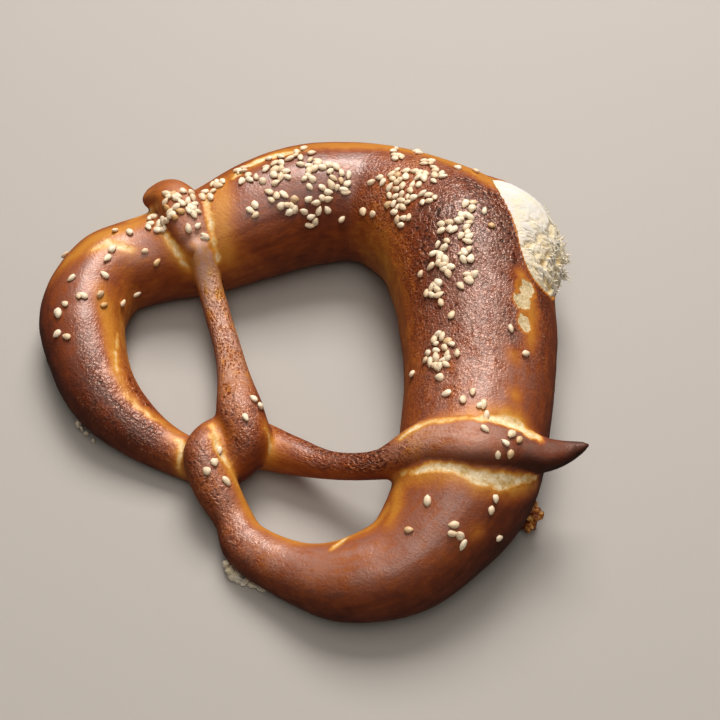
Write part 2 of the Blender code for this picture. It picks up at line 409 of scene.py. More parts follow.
# The skin's own unevenness, in millimetres: big and small lumps from proving, and wrinkles. Then how deep
# the flakes and the splits are.
BIG_LUMP = 0.35
SMALL_LUMP = 0.12
WRINKLE = 0.07
FLAKE_DEPTH = 0.35
SPLIT_DEPTH = 0.3
skin_places = places * MM
lumps = BIG_LUMP * ripple(skin_places, 0.016, 3.1) + SMALL_LUMP * ripple(skin_places, 0.006, 8.4) + squared
wrinkles = WRINKLE * wrinkled * ripple(skin_places, 0.0021, 1.7, octaves=2)
moved = skin_places + outward(crust.data) * ((lumps + wrinkles) * MM)[:, None]
move_corners(crust.data, moved)
skin = BVHTree.FromObject(crust, bpy.context.evaluated_depsgraph_get())

# The torn corner: the spot in the belly that it lies beside, and how much further along its middle is,
# its half length along the belly, how deep the crust is torn out and how far its lip stands up, in
# millimetres. Then how far round from the back it lies, and its half arcs towards the back and away
# from it, in degrees.
TORN_BESIDE = (51.5, 27.5)
TORN_SHIFT = 1.4
TORN_HALF_LENGTH = 16.3
TORN_DEPTH = 1.4
TORN_LIP = 0.3
TORN_TURN = -60
TORN_ARC_BACK = 30
TORN_ARC_AWAY = 33
torn_beside = np.hypot(route[:, 0] - TORN_BESIDE[0], route[:, 1] - TORN_BESIDE[1]).argmin()
torn_middle = along[torn_beside] + TORN_SHIFT


def tear_reach(lengthwise, crosswise):
    """1 on the tear's outline, which is blunt at the top and runs to a point lower down."""
    blunt = 2.9 + 0.8 * np.tanh(4 * lengthwise) + 0.55 * np.tanh(4 * crosswise)
    return (np.abs(lengthwise) ** blunt + np.abs(crosswise) ** blunt) ** (1 / blunt)


round_tear = turned - TORN_TURN
torn = tear_reach((reached - torn_middle) / TORN_HALF_LENGTH,
                  round_tear / np.where(round_tear > 0, TORN_ARC_BACK, TORN_ARC_AWAY))
ragged = 0.05 * ripple(skin_places, 0.003, 5.2, octaves=2)
sunken = FLAKE_DEPTH * soft_step(0, 0.3, flaked) + SPLIT_DEPTH * soft_step(-0.3, 0.8, split)
sunken += TORN_DEPTH * soft_step(1, 0.93, torn + ragged) - TORN_LIP * soft_step(1.1, 1.02, torn)
moved -= outward(crust.data) * (sunken * MM)[:, None]
moved[:, 2] = np.maximum(moved[:, 2], 0)
move_corners(crust.data, moved)


def keep(mesh, name, values):
    """Store a number for each corner of the mesh, or one for them all, for its material to read."""
    layer = mesh.attributes.new(name, "FLOAT", "POINT")
    layer.data.foreach_set("value", np.full(len(mesh.vertices), values, np.float32))


looks = {
    "baked_and_shaded": baked_and_shaded, "wrinkled": wrinkled, "shine": shine, "painted_sheen": painted_sheen, "split": split,
    "golden": golden, "scorched": scorched, "flaked": flaked, "torn": torn,
    "under": soft_step(0.6, 0, places[:, 2]),
    "drawn": soft_step(6.4, 4.6, route[owner, 3]),
}
for name, values in looks.items():
    keep(crust.data, name, values)
# The place along the rope and round it, which the streaks and the drawn wrinkles follow.
rolled = np.column_stack([reached, np.radians(turned) * route[owner, 3], np.zeros(len(turned))]) * MM
layer = crust.data.attributes.new("rolled", "FLOAT_VECTOR", "POINT")
layer.data.foreach_set("vector", rolled.astype(np.float32).ravel())
bpy.ops.object.shade_smooth()


# --------------------
# The crust's finish: lye-browned skin, glossy and finely wrinkled, orange where it is thinly baked,
# nearly black where it stands up to the heat, and cream where the dough opened late.


def new_finish(piece, name):
    """Give the piece a new material, and return its nodes, its shader and the place on the piece."""
    material = bpy.data.materials.new(name)
    material.use_nodes = True
    piece.data.materials.clear()
    piece.data.materials.append(material)
    tree = material.node_tree
    where = tree.nodes.new("ShaderNodeTexCoord").outputs["Object"]
    return tree, tree.nodes["Principled BSDF"], where


def feed(node, inputs):
    """Set a node's inputs, each to a value or to another node's output."""
    for name, value in inputs.items():
        if isinstance(value, bpy.types.NodeSocket):
            node.id_data.links.new(value, node.inputs[name])
        else:
            node.inputs[name].default_value = value


def add_node(kind, inputs, **settings):
    """Add a node with these settings to the tree that its inputs come from."""
    tree = next(value.id_data for value in inputs.values() if isinstance(value, bpy.types.NodeSocket))
    node = tree.nodes.new("ShaderNode" + kind)
    for name, value in settings.items():
        setattr(node, name, value)
    feed(node, inputs)
    return node


def maths(operation, first, *others):
    """One number after another brought in by the same sum."""
    for other in others or [0]:
        first = add_node("Math", {0: first, 1: other}, operation=operation).outputs[0]
    return first


def plus(*numbers):
    """Numbers added up."""
    return maths("ADD", *numbers)


def times(*numbers):
    """Numbers multiplied."""
    return maths("MULTIPLY", *numbers)


def less(first, second):
    """First less second."""
    return maths("SUBTRACT", first, second)


def most(*numbers):
    """The greatest of the numbers."""
    return maths("MAXIMUM", *numbers)


def rest(share):
    """What a share leaves of the whole."""
    return less(1, share)


def swing(unevenness, reach):
    """Noise from 0 to 1, made to swing by half the reach either side of 0."""
    return times(less(unevenness, 0.5), reach)


def between(share, first, second):
    """First where the share is 0, second where it is 1."""
    return plus(times(first, rest(share)), times(second, share))


def ease(value, low, high, start=0, end=1):
    """Value, taken smoothly from start at low to end at high."""
    inputs = {"Value": value, "From Min": low, "From Max": high, "To Min": start, "To Max": end}
    return add_node("MapRange", inputs, interpolation_type="SMOOTHSTEP").outputs[0]


def stored(name, kind="Fac"):
    """What the mesh of the piece in hand keeps under this name."""
    node = tree.nodes.new("ShaderNodeAttribute")
    node.attribute_name = name
    return node.outputs[kind]


def drawn_out(where, slant, shrink):
    """A place whose pattern is turned by the slant and stretched along it."""
    inputs = {"Vector": where, "Rotation": (0, 0, slant), "Scale": (shrink, 1, 1)}
    return add_node("Mapping", inputs).outputs["Vector"]


def grain(where, scale, detail=2, rough=0.5, twist=0):
    """Noise from 0 to 1 with scale lumps to the metre."""
    inputs = {"Vector": where, "Scale": scale, "Detail": detail, "Roughness": rough, "Distortion": twist}
    return add_node("TexNoise", inputs).outputs["Fac"]


def blend(share, first, second):
    """Mix two colours."""
    return add_node("Mix", {0: share, 6: first, 7: second}, data_type="RGBA").outputs[2]


def bumped(height, depth):
    """The skin's direction, bumped by heights from 0 to 1 that stand for depth metres."""
    return add_node("Bump", {"Height": height, "Distance": depth}).outputs["Normal"]


def new_group(name, takes, gives):
    """A group of nodes that several finishes share, with its inner ends."""
    group = bpy.data.node_groups.new(name, "ShaderNodeTree")
    for title, kind, value in takes:
        taken = group.interface.new_socket(title, in_out="INPUT", socket_type="NodeSocket" + kind)
        taken.default_value = value
    for title, kind in gives:
        group.interface.new_socket(title, in_out="OUTPUT", socket_type="NodeSocket" + kind)
    return group, group.nodes.new("NodeGroupInput").outputs, group.nodes.new("NodeGroupOutput")


def use_group(group, inputs):
    """Place a shared group in a finish with its own values, and return its outputs."""
    return add_node("Group", inputs, node_tree=group).outputs


# Browning: the colour of a crust from how far it is baked.
BROWNING = [
    (0.00, (0.80, 0.60, 0.33)), (0.14, (0.70, 0.38, 0.09)), (0.28, (0.53, 0.205, 0.020)),
    (0.42, (0.37, 0.099, 0.008)), (0.55, (0.245, 0.048, 0.005)), (0.68, (0.145, 0.0235, 0.0038)),
    (0.80, (0.080, 0.013, 0.0035)), (1.00, (0.024, 0.0065, 0.0035)),
]
browning, given, made = new_group("browning", [("Baked", "Float", 0.5)], [("Color", "Color")])
ramp = add_node("ValToRGB", {0: given["Baked"]})
stops = ramp.color_ramp.elements
while len(stops) < len(BROWNING):
    stops.new(0.5)
for stop, (position, colour) in zip(stops, BROWNING):
    stop.position = position
    stop.color = (*colour, 1)
feed(made, {"Color": ramp.outputs[0]})

# Crumb: the inside of the dough, pale on top and yellower in its pores and hollows. Pores and Patches
# say how many of them there are to the metre.
crumb_look, given, made = new_group(
    "crumb_look", [("Vector", "Vector", (0, 0, 0)), ("Pale", "Color", (1, 1, 1, 1)),
                   ("Deep", "Color", (0, 0, 0, 1)), ("Pores", "Float", 1500), ("Patches", "Float", 240)],
    [("Color", "Color"), ("Height", "Float")])
pores = grain(given["Vector"], given["Pores"], 3, 0.6)
patches = grain(given["Vector"], given["Patches"], 3)
tint = ease(plus(times(pores, 0.5), times(patches, 0.7)), 0.42, 0.72)
feed(made, {"Color": blend(tint, given["Deep"], given["Pale"]), "Height": pores})

# Fresh dough in the splits, crumb where flakes came off, painted glints, painted sheen and the sole.
CREAM = (0.84, 0.67, 0.41, 1)
CREAM_DEEP = (0.55, 0.33, 0.09, 1)
BARE_CRUMB = (0.64, 0.51, 0.3, 1)
BARE_DEEP = (0.42, 0.29, 0.12, 1)
# Painted highlight: the peach put on wrinkle crests for the light that they catch.
PAINTED_HIGHLIGHT = (0.72, 0.38, 0.2, 1)
# Painted sheen: the pale lavender tan painted on the rope's back for the window's broad reflection.
SHEEN_TAN = (0.54, 0.305, 0.222, 1)
SOLE_BROWN = (0.3, 0.13, 0.045, 1)
WRINKLE_DEPTH = 0.00045
# How many pebbles and how many ridges of wrinkled skin there are to the metre: where it is a little
# wrinkled, where it is deeply wrinkled, and where the rope was rolled thin.
CROWDED = (1150, 640)
CROWDED_DEEP = (800, 450)
ROLLED_THIN = (1500, 820)
# How baked the rim of a split is, from its outside to its edge.
RIM_BAKED = (0.27, 0.18)

tree, shader, where = new_finish(crust, "browned_crust")
round_rope = stored("rolled", "Vector")
broad = grain(where, 95, 3)
patchy = grain(where, 260, 2)
fine = grain(where, 420, 3)
streaks = grain(drawn_out(round_rope, 0.2, 0.22), 520, 3, 0.6)
mottled = plus(streaks, swing(patchy, 0.9))
uneven = plus(swing(fine, 1.6), swing(patchy, 2.4))


def leathery(where, pebbles_and_ridges):
    """Crowded pebbles and short winding ridges, from 0 in the hollows to 1 on the crests."""
    pebble_scale, ridge_scale = pebbles_and_ridges
    pebbles = ease(grain(where, pebble_scale, 1), 0.34, 0.66)
    winding = maths("ABSOLUTE", less(grain(where, ridge_scale, 1, 0.5, 0.3), 0.5))
    ridges = ease(winding, 0.11, 0)
    return plus(times(pebbles, 0.5), times(ridges, 0.5))


# The wrinkles crowd together on thick dough and are drawn out slantwise where it was rolled thin.
# Golden skin has none.
drawn = stored("drawn")
deep = ease(stored("wrinkled"), 0.45, 0.9)
crowded = between(deep, leathery(where, CROWDED), leathery(where, CROWDED_DEEP))
relief = between(drawn, crowded, leathery(drawn_out(round_rope, 0.5, 0.5), ROLLED_THIN))
glow = ease(plus(stored("golden"), times(uneven, 1.4)), -4.4, 1.9, 0, 0.9)
how_wrinkled = times(stored("wrinkled"), ease(broad, 0.25, 0.5, 0.6, 1), rest(glow))
# Painted shade: the hollows between the wrinkles are darkened.
painted_hollow_shade = times(how_wrinkled, ease(less(relief, times(drawn, 0.14)), 0.3, 0.05))

# How brown: as baked, with the shade painted on the low sides and in the hollows of the wrinkles, uneven
# at every size, darker where it caught, and golden round splits, bare spots and the torn corner.
caught = ease(plus(stored("scorched"), times(fine, 3)), 0.2, 2.2)
brown = plus(stored("baked_and_shaded"), swing(broad, 0.22), swing(fine, 0.14), swing(patchy, 0.2),
             times(painted_hollow_shade, 0.3), swing(streaks, 0.28), times(caught, 0.16))
edge = plus(stored("split"), uneven)
around_bare = ease(stored("flaked"), -0.7, -0.1, 0, 0.8)
torn_edge = ease(stored("torn"), 1.07, 1)
halo = most(glow, ease(edge, -1.8, 0.1), around_bare, torn_edge)
brown = between(halo, brown, ease(edge, -1.8, 0.1, *RIM_BAKED))
colour = use_group(browning, {"Baked": brown})["Color"]

# On the browning lie a painted sheen on the smooth back, painted highlights on the crests of wrinkles,
# and pale dough where the crust opened or flaked off.
glossy = stored("shine")
smooth_skin = rest(most(halo, times(how_wrinkled, 0.15)))
# Where the painted sheen goes: smooth skin, in patches and streaks, less in the wrinkles' hollows.
sheen_patches = ease(less(mottled, times(painted_hollow_shade, 0.4)), 0.1, 0.66)
colour = blend(times(stored("painted_sheen"), smooth_skin, sheen_patches), colour, SHEEN_TAN)
# Painted highlights on the wrinkle crests, fewer where the varnish shines.
risen = plus(relief, times(how_wrinkled, 0.28))
painted_glint = times(ease(risen, 0.86, 1.22), ease(how_wrinkled, 0, 0.3), ease(glossy, 0, 1, 0.5, 0.22))
colour = blend(painted_glint, colour, PAINTED_HIGHLIGHT)
opened = ease(edge, -0.35, 0.75)
opened_dough = use_group(crumb_look, {"Vector": where, "Pale": CREAM, "Deep": CREAM_DEEP,
                                      "Pores": 1300, "Patches": 300})
colour = blend(opened, colour, opened_dough["Color"])
bare = ease(plus(stored("flaked"), times(uneven, 0.55)), 0, 0.1)
bare_crumb = use_group(crumb_look, {"Vector": where, "Pale": BARE_CRUMB, "Deep": BARE_DEEP,
                                    "Pores": 1800, "Patches": 500})
colour = blend(bare, colour, bare_crumb["Color"])
colour = blend(stored("under"), colour, SOLE_BROWN)

# The lye leaves a varnish, unbroken on smooth skin and left only on the crests of wrinkled skin. Dough,
# crumb and the sole are matt.
matt = most(bare, stored("under"), times(opened, 0.7))
gloss = less(ease(fine, 0.2, 0.8, 0.32, 0.42), times(how_wrinkled, 0.08))
crest = ease(relief, 0.48, 0.8)
dull = most(matt, times(how_wrinkled, rest(crest)))
varnish = times(ease(mottled, 0.25, 0.7, 0.45, 1), rest(times(drawn, 0.4)),
                rest(times(halo, 0.6)), rest(times(how_wrinkled, 0.45)), glossy, rest(dull))
wrinkle_height = times(relief, ease(how_wrinkled, 0, 1, 0.1, 1))
feed(shader, {
    "Base Color": colour,
    "Roughness": plus(gloss, times(rest(glossy), 0.22), times(matt, 0.35)),
    "Specular IOR Level": 0.7,
    "Specular Tint": (1, 0.72, 0.58, 1),
    "Coat Weight": varnish,
    "Coat Roughness": 0.38,
    "Coat IOR": 1.48,
    "Normal": bumped(wrinkle_height, WRINKLE_DEPTH),
})

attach(crust, "root")
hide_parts("pretzel")

# --------------------
# The torn corner. The belly baked against a neighbour, and pulling the two apart tore its crust off
# and left the white crumb, which swells out of the tear and ends in shreds along its lower side.

# In millimetres, with how far out the rays start that look for the skin and for the crumb.
CRUMB_SWELL = 1.0
CRUMB_EDGE_UNDER_CRUST = 0.5
CRUMB_THICKNESS = 1.2
OUTSIDE_SKIN = 45
OUTSIDE_CRUMB = 6


def on_torn_skin(lengthwise, crosswise):
    """The untorn skin's place and the way out of it, from a place in the tear from -1 to 1."""
    reach = torn_middle + lengthwise * TORN_HALF_LENGTH
    middle = np.array([np.interp(reach, along, route[:, axis]) for axis in range(3)])
    ahead = Vector([np.interp(reach, along, tangent[:, axis]) for axis in range(3)]).normalized()
    left_side = Vector((0, 0, 1)).cross(ahead).normalized()
    arc = TORN_ARC_BACK if crosswise > 0 else TORN_ARC_AWAY
    turn = np.radians(TORN_TURN + crosswise * arc)
    away = ahead.cross(left_side) * np.cos(turn) + left_side * np.sin(turn)
    place = skin.ray_cast(Vector(middle * MM) + away * OUTSIDE_SKIN * MM, -away)[0]
    return place, away


def shag(lengthwise, crosswise):
    """0 where the crumb is smooth and swollen, high up, to 1 where it hangs in shreds, low down."""
    return float(soft_step(-0.75, 0.45, -0.9 * lengthwise - 0.35 * crosswise))


def lump(place, size):
    """Noise from about -1 to 1 whose lumps are about size millimetres across."""
    return noise.noise(place / (size * MM))


bpy.ops.object.select_all(action="DESELECT")
bpy.ops.mesh.primitive_grid_add(x_subdivisions=150, y_subdivisions=150, size=2)
crumb = bpy.context.object
crumb_places = []
shade_warmth = []
for x, y, _ in corners(crumb.data):
    # The square grid is drawn in to a disc, and the disc to the tear's outline.
    round_x, round_y = x * np.sqrt(1 - y * y / 2), y * np.sqrt(1 - x * x / 2)
    share = np.hypot(round_x, round_y)
    turn = np.arctan2(round_y, round_x)
    reach = share / tear_reach(np.sin(turn), np.cos(turn))
    lengthwise, crosswise = reach * np.sin(turn), reach * np.cos(turn)
    place, away = on_torn_skin(lengthwise, crosswise)
    shaggy = shag(lengthwise, crosswise)
    # Pulled strands run across the tear and slant towards its lower end, with pits between them.
    strands = Vector((lengthwise * 20 - crosswise * 7 * shaggy, crosswise * 5, 3))
    pulled = 1 - 5 * noise.noise(strands) ** 2 - 0.35 * abs(noise.noise(strands * 2.3))
    pit = max(0, lump(place, 3.6) - 0.05) + 0.4 * max(0, lump(place, 1.5) - 0.1)
    relief = (0.05 + 0.35 * shaggy) * pulled - (0.1 + 2.6 * shaggy) * pit
    relief += (0.08 + 0.16 * shaggy) * lump(place, 0.9) + 0.35 * lump(place, 8)
    inward = min(1, (1 - share) * 6)
    height = CRUMB_SWELL * (1 - share ** 4) + relief * inward
    # A warm tan is painted into the pits and the low shaggy part, to warm the shade there.
    shade_warmth.append(shaggy * (0.48 + inward * min(0.52, max(0, 2.6 * pit + 0.4 * (0.3 - pulled)))))
    crumb_places.append(place + away * (height - CRUMB_EDGE_UNDER_CRUST * share ** 12) * MM)
move_corners(crumb.data, np.array(crumb_places))
keep(crumb.data, "shade_warmth", shade_warmth)
bpy.ops.object.mode_set(mode="EDIT")
bpy.ops.mesh.select_all(action="SELECT")
bpy.ops.mesh.normals_make_consistent(inside=False)
bpy.ops.object.mode_set(mode="OBJECT")
if outward(crumb.data)[len(crumb_places) // 2] @ np.array(on_torn_skin(0, 0)[1]) < 0:
    crumb.data.flip_normals()
crumb_skin = BVHTree.FromObject(crumb, bpy.context.evaluated_depsgraph_get())
apply_modifier("SOLIDIFY", thickness=CRUMB_THICKNESS * MM, offset=-1)


def on_crumb(lengthwise, crosswise):
    """The place on the crumb's own surface and the way out of it."""
    place, away = on_torn_skin(lengthwise, crosswise)
    return crumb_skin.ray_cast(place + away * OUTSIDE_CRUMB * MM, -away)[0], away


# The shreds: tapered strands of crumb, some standing up in tufts and some lying across the tear. Their
# lengths and radii are in millimetres.
TUFTS = 48
LYING_STRANDS = 100
# The biggest tufts, along the corner's outer side: (place along the tear, place across it).
BIG_TUFTS = [(0.6, -0.66), (0.34, -0.82), (0.04, -0.88), (-0.24, -0.88), (-0.5, -0.84)]
BIG_TUFT_LENGTH = 3.6
SUNK_IN_CRUMB = 0.15
# How much warm tan is painted on the shreds for their shade.
SHREDS_SHADE_WARMTH = 0.3
random.seed(11)
shreds = new_rope("shreds", 0)


def random_turn(amount):
    """A random change of direction."""
    return Vector([random.gauss(0, amount) for _ in range(3)])


def join_up(bits, name):
    """Join the bits into one piece, which stays selected."""
    bpy.ops.object.select_all(action="DESELECT")
    for bit in bits:
        bit.select_set(True)
    bpy.context.view_layer.objects.active = bits[0]
    bpy.ops.object.join()
    bpy.context.object.name = name


for tuft in range(TUFTS + len(BIG_TUFTS)):
    big = tuft < len(BIG_TUFTS)
    lengthwise, crosswise = random.uniform(-0.9, 0.8), random.uniform(-0.97, 0.1)
    if big:
        lengthwise, crosswise = BIG_TUFTS[tuft]
    shaggy = shag(lengthwise, crosswise)
    if tear_reach(lengthwise, crosswise) > 0.95 or random.random() > 0.15 + shaggy + big:
        continue
    lean = random_turn(0.4)
    reach = BIG_TUFT_LENGTH if big else random.uniform(0.8, 1.1) * (1 + 0.9 * shaggy)
    for _ in range(random.randint(3, 7) + 6 * big):
        place, away = on_crumb(lengthwise + random.gauss(0, 0.025), crosswise + random.gauss(0, 0.04))
        if place is None:
            continue
        heading_out = (away + lean + random_turn(0.3)).normalized()
        length = reach * random.uniform(0.5, 1.1)
        thick = random.uniform(0.3, 0.55) if big else random.uniform(0.22, 0.4)
        place = place - away * SUNK_IN_CRUMB * MM
        line = []
        for share in (0, 0.25, 0.5, 0.75, 1):
            line.append((place, thick * (1 - 0.5 * share)))
            heading_out = (heading_out + random_turn(0.25)).normalized()
            place = place + heading_out * (length / 4) * MM
        add_strand(shreds, *zip(*line))
for _ in range(LYING_STRANDS):
    lengthwise, crosswise = random.uniform(-0.88, 0.45), random.uniform(-0.85, 0.8)
    shaggy = shag(lengthwise, crosswise)
    if random.random() > shaggy:
        continue
    span = random.uniform(0.06, 0.22)
    slant = random.gauss(0.02, 0.04) + 0.5 * span * shaggy
    thick = random.uniform(0.18, 0.42)
    line = []
    for share in np.linspace(-1, 1, 9):
        across, down = crosswise + span * share, lengthwise + slant * share
        if tear_reach(down, across) < 0.97:
            place, away = on_crumb(down, across)
            if place is not None:
                lift = 0.14 * (1 - share * share) - 0.2
                line.append((place + away * lift * MM, thick * (1 - 0.7 * abs(share))))
    if len(line) > 3:
        add_strand(shreds, *zip(*line))
strands = rope_mesh(shreds)
keep(strands.data, "shade_warmth", SHREDS_SHADE_WARMTH)
join_up([crumb, strands], "torn_crumb")
bpy.ops.object.shade_smooth()

# Its crumb is ivory and soft. A yellow tan painted in its pits, low shaggy part and shreds warms the shade
# there.
CRUMB_PALE = (0.61, 0.59, 0.56, 1)
CRUMB_DEEP = (0.67, 0.595, 0.43, 1)
CRUMB_WARM_SHADE = (0.72, 0.54, 0.27, 1)
PORE_DEPTH = 0.00018
tree, shader, where = new_finish(crumb, "white_crumb")
inside = use_group(crumb_look, {"Vector": where, "Pale": CRUMB_PALE, "Deep": CRUMB_DEEP})
feed(shader, {
    "Base Color": blend(stored("shade_warmth"), inside["Color"], CRUMB_WARM_SHADE),
    "Roughness": ease(inside["Height"], 0.2, 0.8, 0.75, 0.95),
    "Specular IOR Level": 0.15,
    "Subsurface Weight": 0.4,
    "Subsurface Radius": (0.001, 0.0009, 0.0008),
    "Subsurface Scale": 1,
    "Normal": bumped(inside["Height"], PORE_DEPTH),
})

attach(crumb, "root")

# --------------------
# Torn edges of the sole. Pulling the pretzel off the tray left pale flakes of crumb under its edge,
# and a bit of another crust stayed baked to its lower right side.

# Lumps: each one's middle and half sizes, in millimetres, and its turn, in degrees.
SOLE_FLAKES = [
    ((-67.2, -14.8, 2.4), (0.8, 0.7, 1.9), 25), ((-66, -16.2, 2.2), (0.6, 0.6, 1.1), -40),
    ((-64.8, -17.2, 1.2), (0.9, 0.6, 0.8), 10), ((-62.4, -19.6, 1), (0.5, 0.6, 1.5), 30),
    ((-20.3, -61.8, 2), (0.9, 1.2, 2.4), 30), ((-19.2, -63.2, 1.4), (1.3, 1.2, 1.5), 40),
    ((-17.8, -64.6, 1), (2.2, 1.5, 1), -35), ((-16.6, -65.6, 0.7), (1.6, 1.3, 0.7), 0),
    ((-15, -66.2, 0.6), (1.6, 1.2, 0.6), 20), ((-12.6, -67.2, 0.5), (1.7, 1.1, 0.5), -20),
    ((-10.2, -68.2, 0.5), (1.5, 1, 0.45), -25),
]
BAKED_ON = [
    ((67.4, -47.6, 6), (2.2, 2.4, 1.9), 20), ((68, -46.6, 4.4), (1.6, 2, 1.6), -30),
    ((66.4, -50, 4), (1.8, 1.5, 1.5), 60), ((67.2, -45.2, 6.6), (1.2, 1.6, 1.2), 10),
    ((66, -48.6, 2.4), (2, 1.8, 1.5), 0),
]
# The flakes lie in shade under the edge, and a warm tan is painted on them for it.
FLAKES_SHADE_WARMTH = 0.4
CHIP_DEPTH = 0.0003


def rough_lumps(name, lumps):
    """One mesh of rough lumps, none of which reaches below the tray."""
    bpy.ops.object.select_all(action="DESELECT")
    bits = []
    for middle, half_sizes, turn in lumps:
        bpy.ops.mesh.primitive_ico_sphere_add(subdivisions=4, radius=MM, location=Vector(middle) * MM,
                                              rotation=(0, 0, np.radians(turn)), scale=half_sizes)
        bpy.ops.object.transform_apply(location=True, rotation=True, scale=True)
        bit = bpy.context.object
        rough = []
        for place, way_out in zip(corners(bit.data), outward(bit.data)):
            height = 0.7 * lump(Vector(place), 1.4) + 0.4 * lump(Vector(place), 0.5)
            rough.append(place + way_out * height * min(half_sizes) * MM)
        rough = np.array(rough)
        rough[:, 2] = np.maximum(rough[:, 2], 0)
        move_corners(bit.data, rough)
        bits.append(bit)
    join_up(bits, name)
    bpy.ops.object.shade_smooth()
    return bpy.context.object


flakes = rough_lumps("sole_flakes", SOLE_FLAKES)
flakes.data.materials.append(crumb.data.materials[0])
keep(flakes.data, "shade_warmth", FLAKES_SHADE_WARMTH)
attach(flakes, "root")

baked_on = rough_lumps("baked_on_bit", BAKED_ON)
tree, shader, where = new_finish(baked_on, "broken_crust")
chips = grain(where, 700, 3, 0.6)
feed(shader, {
    "Base Color": use_group(browning, {"Baked": ease(chips, 0.3, 0.7, 0.7, 0.08)})["Color"],
    "Roughness": ease(chips, 0.3, 0.7, 0.45, 0.75),
    "Normal": bumped(chips, CHIP_DEPTH),
})
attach(baked_on, "root")

# --------------------
# The sesame. Hulled seeds were sprinkled on the wet dough by hand, mostly on the belly's back, and
# baked on: flat drops about 3 mm long, ivory, a few of them toasted golden.

SEED_LENGTH = 3.1
SEED_WIDTH = 2.4
SEED_THICKNESS = 1.5
# How much narrower and thinner a seed is at its tip, and how far its middle stands over the crust in its
# own thicknesses.
TIP_NARROWER = 0.45
TIP_THINNER = 0.35
SEED_RAISED = 0.3
TOASTED_SHARE = 0.07

# Each pinch of seeds: (x, y, how far it spread, how many), in millimetres, and each lone seed: (x, y).
# They fall from overhead, and a seed is thrown again if it lands too close to another.
PINCHES = [
    (-16, 56, 3.4, 5), (-15.5, 46, 1.7, 3), (-20, 61.5, 1.8, 4), (-12.5, 61, 1.4, 2), (-8, 57, 3.1, 7),
    (-10, 50.5, 1.9, 3), (-5, 48.5, 2.9, 7), (-8, 64, 3.6, 5), (-1, 66, 3.6, 5), (2.5, 61, 3.8, 8),
    (8.5, 60, 1.9, 3), (1.5, 54.5, 2.4, 4), (7.5, 54, 1.9, 3), (11.8, 57, 2.6, 5), (11.5, 54, 2.6, 3),
    (2, 47.5, 2.9, 7), (6.5, 49.5, 1.7, 3), (12, 47, 0.2, 1), (-40, 45, 2.6, 8), (-36.5, 49, 3.4, 10),
    (-34, 45, 1.9, 4), (-41.5, 50, 1.9, 4), (-30, 53, 1.9, 4), (-27, 57.5, 1.9, 4), (-43.5, 43.5, 2.2, 7),
    (-48, 44, 1, 2), (-32.5, 41), (-30.5, 38.5, 0.6, 2), (-35, 39.8), (23.5, 54.5, 2.2, 3), (19, 47),
    (22, 44.5, 0.6, 1), (26, 45, 0.6, 2), (30, 63, 1.8, 4), (28, 68, 1.4, 2), (36, 67, 1.4, 2),
    (38.5, 59, 1.7, 4), (41, 54.5, 1.4, 2), (30, 54, 3.1, 8), (36, 52, 2.9, 5), (29, 49, 2.9, 5),
    (33.5, 45, 3.6, 8), (29.5, 42.5, 2.4, 5), (41.5, 49.5, 2.4, 4), (38, 40.5, 2.4, 4),
    (30.5, 37, 2.4, 4), (48, 55, 0.6, 1), (53, 55, 0.6, 1), (50, 35.5, 1.9, 4), (54.5, 33, 0.8, 1),
    (56, 28, 0.4, 1), (48.5, 29.5, 2.6, 7), (43.5, 28, 2.4, 5), (49, 24, 1.9, 4), (41.5, 22, 2.6, 5),
    (48.5, 18.5, 2.4, 5), (40.5, 18, 2.4, 5), (36, 17, 1, 1), (43.5, 14, 1.7, 3), (50, 11, 1.9, 4),
    (39.5, 9, 2.4, 7), (46.5, 7.5, 0.8, 1), (41, 4.5, 0.5, 1), (44, -1), (40, -7, 1.7, 4),
    (42, -10, 1.7, 4), (38, -12, 2.2, 5), (41, -14.5, 2.4, 7), (45, -14, 0.5, 1), (33, -13), (40, -20),
    (42, -26), (46, -28.8), (48.5, -27), (51.5, -30.5, 1, 2), (52, -34.5), (51.5, -40.5), (57, -43.5),
    (58.5, -40.3), (61, -41.6), (58, -46), (54.4, -47), (36, -57), (31, -64), (42.5, -64.2, 1.4, 2),
    (45, -66.5, 1.4, 2), (54, -56), (52.8, -59), (55.3, -63), (60.5, -6), (64.3, -12.5), (-74, 37),
    (-70, 24), (-66.5, 17.5, 0.8, 2), (-71, 15, 0.6, 1), (-73.5, 12.8, 1.4, 2), (-73, 6), (-70, 4.5),
    (-58.5, 42.5), (-54, 41.5), (-58.8, 35), (-60, 31.5), (-60.8, 26.2), (-61, 19.5), (-60, 16.3),
    (-55.5, 20.5), (-52, 26.3), (-49, 35.5), (-45, 33), (-47.2, 47.5, 0.9, 2), (-15, -25), (-13.6, -18),
    (-23, -33), (-24, -37.2, 0.6, 2), (-26, -40), (-20.5, -42), (-11.4, -20, 0.2, 1),
]
LONE_SEED = (0.3, 1)
OVERHEAD = 80
CLOSEST_SEEDS = 2
THROWS = 30

bpy.ops.object.select_all(action="DESELECT")
bpy.ops.mesh.primitive_uv_sphere_add(segments=8, ring_count=6, radius=0.5)
seed = bpy.context.object
seed_shape = corners(seed.data)
pointed = 0.5 - seed_shape[:, 2]
seed_shape[:, 0] *= (1 - TIP_NARROWER * pointed ** 2) * SEED_WIDTH
seed_shape[:, 1] *= (1 - TIP_THINNER * pointed ** 2) * SEED_THICKNESS
seed_shape[:, 2] *= SEED_LENGTH
seed_shape = seed_shape[:, [2, 0, 1]] * MM
move_corners(seed.data, seed_shape)
bpy.ops.object.shade_smooth()
keep(seed.data, "tip", soft_step(0.75, 1, pointed))

